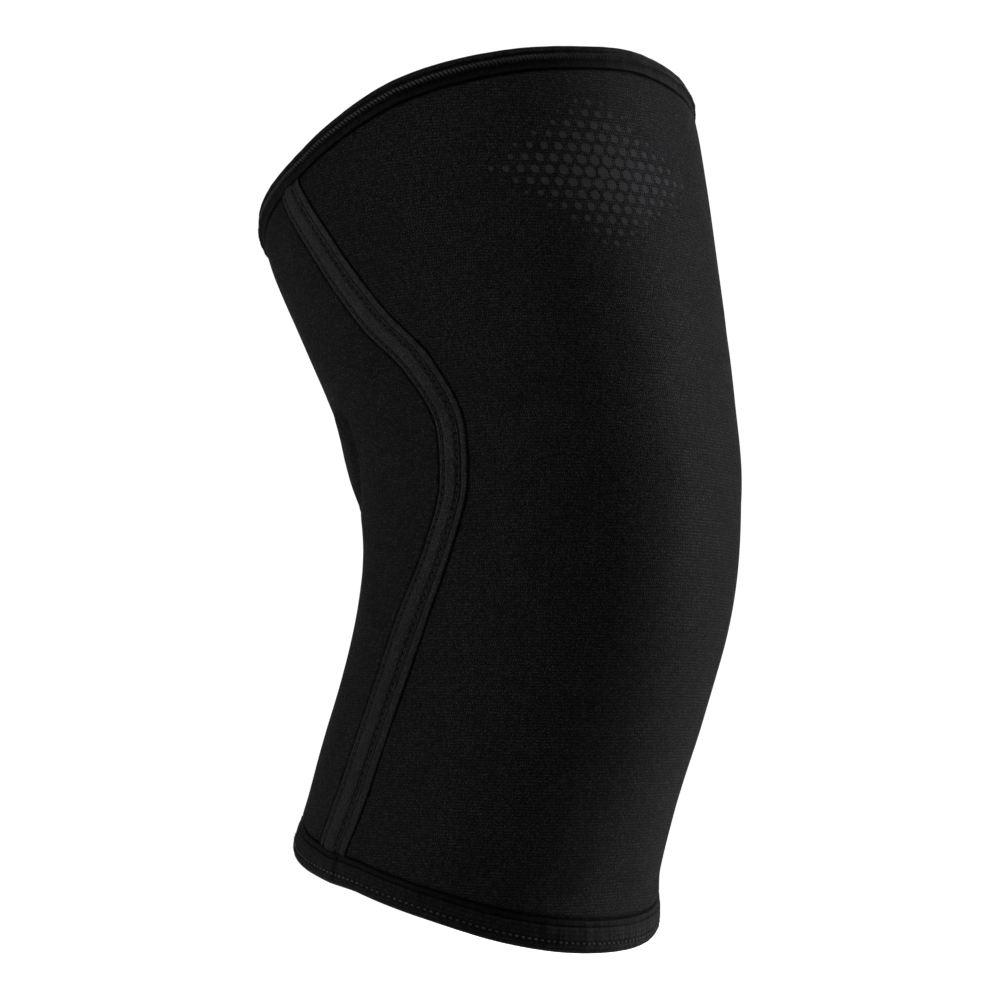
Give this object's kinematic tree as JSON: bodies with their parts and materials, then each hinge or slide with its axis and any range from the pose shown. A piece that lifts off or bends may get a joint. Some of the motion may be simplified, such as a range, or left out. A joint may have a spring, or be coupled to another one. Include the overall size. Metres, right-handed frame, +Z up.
{
  "type": "knee sleeve",
  "caption": "Black pull-on knee sleeve of knit-faced foam rubber, open at both ends, in the form that it has on a slightly bent leg.",
  "frame": {"origin": "middle of the knee, on the leg's centreline, inside the sleeve", "axes": "+X points to the front of the knee, +Z runs up the leg, +Y is the wearer's left; the XZ plane is the plane of symmetry"},
  "size_m": [0.188, 0.1678, 0.3227],
  "materials": {
    "front_knit": "textured knit face on foam rubber",
    "back_knit": "smooth fine knit face on foam rubber",
    "seam_tape": "soft knitted tape, stitched",
    "edge_binding": "folded stretch binding, stitched"
  },
  "bodies": {
    "root": {"front_panel": "front_knit", "back_panel": "back_knit", "seam_tape_right": "seam_tape", "seam_tape_left": "seam_tape", "top_binding": "edge_binding", "bottom_binding": "edge_binding"}
  },
  "joints": []
}
